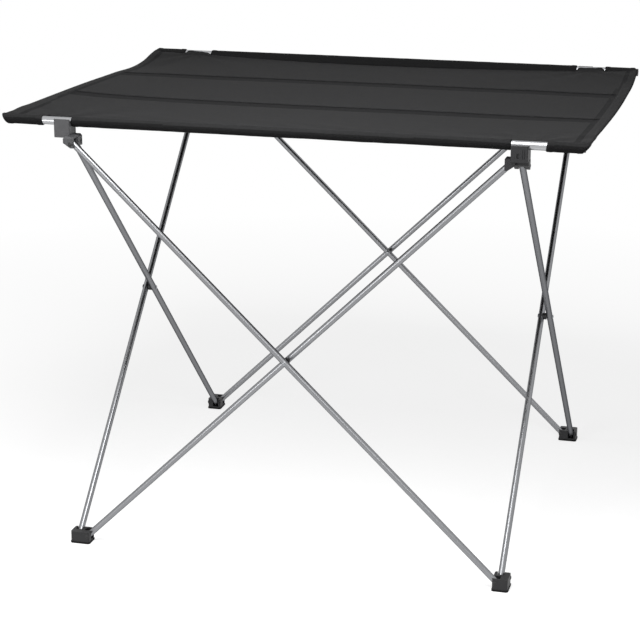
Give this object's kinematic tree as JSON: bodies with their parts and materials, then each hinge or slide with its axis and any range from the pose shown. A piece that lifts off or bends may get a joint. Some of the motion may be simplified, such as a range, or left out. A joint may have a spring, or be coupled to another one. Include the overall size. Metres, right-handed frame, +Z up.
{
  "type": "folding camp table",
  "caption": "Folding camp kitchen table: fabric top with edge rods and stiffening slats over a collapsible cage of crossed aluminium legs with plastic hubs and feet.",
  "frame": {"origin": "on the floor, under the middle of the table", "axes": "+X along the long side, +Y to the rear long side, +Z up"},
  "size_m": [0.7, 0.5756, 0.5494],
  "materials": {
    "leg_tube": "drawn tube, clear anodised, satin",
    "rod_tube": "drawn tube, clear anodised, bright",
    "slat_metal": "rolled flat bar, mill finish",
    "rivet_steel": "zinc plated, domed",
    "pin_black": "steel, black electrocoat, domed",
    "hub_plastic": "moulded glass-filled nylon, fine spark texture",
    "foot_plastic": "moulded glass-filled nylon, fine spark texture",
    "plug_plastic": "moulded nylon, smooth",
    "pad_rubber": "matt moulded rubber",
    "top_cloth": "coated plain-weave polyester, charcoal",
    "hem_cloth": "coated plain-weave polyester, black"
  },
  "bodies": {
    "foot_front_left_set": {"foot_front_left": "foot_plastic", "foot_pad_front_left": "pad_rubber", "foot_pins_front_left": "pin_black"},
    "hub_front_left_set": {"hub_front_left": "hub_plastic", "hub_pins_front_left": "pin_black"},
    "leg_front_inner_set": {"leg_front_inner": "leg_tube", "leg_plugs_front_inner": "plug_plastic", "cross_rivet_front": "rivet_steel", "cross_spacer_front": "plug_plastic"},
    "leg_front_outer_set": {"leg_front_outer": "leg_tube", "leg_plugs_front_outer": "plug_plastic"},
    "foot_front_right_set": {"foot_front_right": "foot_plastic", "foot_pad_front_right": "pad_rubber", "foot_pins_front_right": "pin_black"},
    "hub_front_right_set": {"hub_front_right": "hub_plastic", "hub_pins_front_right": "pin_black"},
    "leg_right_inner_set": {"leg_right_inner": "leg_tube", "leg_plugs_right_inner": "plug_plastic", "cross_rivet_right": "rivet_steel", "cross_spacer_right": "plug_plastic"},
    "leg_right_outer_set": {"leg_right_outer": "leg_tube", "leg_plugs_right_outer": "plug_plastic"},
    "foot_rear_right_set": {"foot_rear_right": "foot_plastic", "foot_pad_rear_right": "pad_rubber", "foot_pins_rear_right": "pin_black"},
    "hub_rear_right_set": {"hub_rear_right": "hub_plastic", "hub_pins_rear_right": "pin_black"},
    "leg_rear_inner_set": {"leg_rear_inner": "leg_tube", "leg_plugs_rear_inner": "plug_plastic", "cross_rivet_rear": "rivet_steel", "cross_spacer_rear": "plug_plastic"},
    "leg_rear_outer_set": {"leg_rear_outer": "leg_tube", "leg_plugs_rear_outer": "plug_plastic"},
    "foot_rear_left_set": {"foot_rear_left": "foot_plastic", "foot_pad_rear_left": "pad_rubber", "foot_pins_rear_left": "pin_black"},
    "hub_rear_left_set": {"hub_rear_left": "hub_plastic", "hub_pins_rear_left": "pin_black"},
    "leg_left_inner_set": {"leg_left_inner": "leg_tube", "leg_plugs_left_inner": "plug_plastic", "cross_rivet_left": "rivet_steel", "cross_spacer_left": "plug_plastic"},
    "leg_left_outer_set": {"leg_left_outer": "leg_tube", "leg_plugs_left_outer": "plug_plastic"},
    "tabletop": {"top_fabric": "top_cloth", "rod_front": "rod_tube", "rod_rear": "rod_tube", "rod_caps_front": "plug_plastic", "rod_caps_rear": "plug_plastic", "sleeve_front": "hem_cloth", "sleeve_rear": "hem_cloth", "slat_front": "slat_metal", "slat_rear": "slat_metal", "slat_pocket_front": "hem_cloth", "slat_pocket_rear": "hem_cloth", "hem_left": "top_cloth", "hem_right": "top_cloth"}
  },
  "joints": [
    {"name": "frame_fold", "type": "hinge", "parent": "foot_front_left_set", "child": "leg_front_inner_set", "pos_m": [-0.263, -0.2671, 0.01], "axis": [0, -1, 0], "range_deg": [0, 45]},
    {"name": "front_cross", "type": "hinge", "parent": "leg_front_inner_set", "child": "leg_front_outer_set", "pos_m": [0, -0.2725, 0.2645], "axis": [0, 1, 0], "range_deg": [0, 90]},
    {"name": "front_left_hub_turn", "type": "hinge", "parent": "leg_front_outer_set", "child": "hub_front_left_set", "pos_m": [-0.263, -0.2779, 0.519], "axis": [0, -1, 0], "range_deg": [0, 45]},
    {"name": "front_right_foot_turn", "type": "hinge", "parent": "leg_front_outer_set", "child": "foot_front_right_set", "pos_m": [0.263, -0.2779, 0.01], "axis": [0, -1, 0], "range_deg": [0, 45]},
    {"name": "front_right_hub_turn", "type": "hinge", "parent": "leg_front_inner_set", "child": "hub_front_right_set", "pos_m": [0.263, -0.2671, 0.519], "axis": [0, 1, 0], "range_deg": [0, 45]},
    {"name": "left_leg_turn", "type": "hinge", "parent": "foot_front_left_set", "child": "leg_left_outer_set", "pos_m": [-0.2779, -0.263, 0.01], "axis": [1, 0, 0], "range_deg": [0, 45]},
    {"name": "left_cross", "type": "hinge", "parent": "leg_left_outer_set", "child": "leg_left_inner_set", "pos_m": [-0.2725, 0, 0.2645], "axis": [-1, 0, 0], "range_deg": [0, 90]},
    {"name": "rear_left_hub_turn", "type": "hinge", "parent": "leg_left_outer_set", "child": "hub_rear_left_set", "pos_m": [-0.2779, 0.263, 0.519], "axis": [-1, 0, 0], "range_deg": [0, 45]},
    {"name": "rear_left_foot_turn", "type": "hinge", "parent": "leg_left_inner_set", "child": "foot_rear_left_set", "pos_m": [-0.2671, 0.263, 0.01], "axis": [1, 0, 0], "range_deg": [0, 45]},
    {"name": "right_leg_turn", "type": "hinge", "parent": "foot_front_right_set", "child": "leg_right_inner_set", "pos_m": [0.2671, -0.263, 0.01], "axis": [1, 0, 0], "range_deg": [0, 45]},
    {"name": "right_cross", "type": "hinge", "parent": "leg_right_inner_set", "child": "leg_right_outer_set", "pos_m": [0.2725, 0, 0.2645], "axis": [-1, 0, 0], "range_deg": [0, 90]},
    {"name": "rear_right_hub_turn", "type": "hinge", "parent": "leg_right_inner_set", "child": "hub_rear_right_set", "pos_m": [0.2671, 0.263, 0.519], "axis": [-1, 0, 0], "range_deg": [0, 45]},
    {"name": "rear_right_foot_turn", "type": "hinge", "parent": "leg_right_outer_set", "child": "foot_rear_right_set", "pos_m": [0.2779, 0.263, 0.01], "axis": [1, 0, 0], "range_deg": [0, 45]},
    {"name": "rear_leg_turn", "type": "hinge", "parent": "foot_rear_left_set", "child": "leg_rear_outer_set", "pos_m": [-0.263, 0.2779, 0.01], "axis": [0, -1, 0], "range_deg": [0, 45]},
    {"name": "rear_cross", "type": "hinge", "parent": "leg_rear_outer_set", "child": "leg_rear_inner_set", "pos_m": [0, 0.2725, 0.2645], "axis": [0, 1, 0], "range_deg": [0, 90]},
    {"name": "top_lift_off", "type": "slide", "parent": "hub_front_left_set", "child": "tabletop", "axis": [-0.4522, -0.4522, 0.7688], "range_m": [0, 0.4425]}
  ],
  "couplings": [
    {"joint": "front_cross", "follows": "frame_fold", "ratio": 2},
    {"joint": "front_left_hub_turn", "follows": "frame_fold", "ratio": 1},
    {"joint": "front_right_foot_turn", "follows": "frame_fold", "ratio": 1},
    {"joint": "front_right_hub_turn", "follows": "frame_fold", "ratio": 1},
    {"joint": "left_leg_turn", "follows": "frame_fold", "ratio": 1},
    {"joint": "left_cross", "follows": "frame_fold", "ratio": 2},
    {"joint": "rear_left_hub_turn", "follows": "frame_fold", "ratio": 1},
    {"joint": "rear_left_foot_turn", "follows": "frame_fold", "ratio": 1},
    {"joint": "right_leg_turn", "follows": "frame_fold", "ratio": 1},
    {"joint": "right_cross", "follows": "frame_fold", "ratio": 2},
    {"joint": "rear_right_hub_turn", "follows": "frame_fold", "ratio": 1},
    {"joint": "rear_right_foot_turn", "follows": "frame_fold", "ratio": 1},
    {"joint": "rear_leg_turn", "follows": "frame_fold", "ratio": 1},
    {"joint": "rear_cross", "follows": "frame_fold", "ratio": 2},
    {"joint": "top_lift_off", "follows": "frame_fold", "m_per_rad": 0.56278}
  ]
}
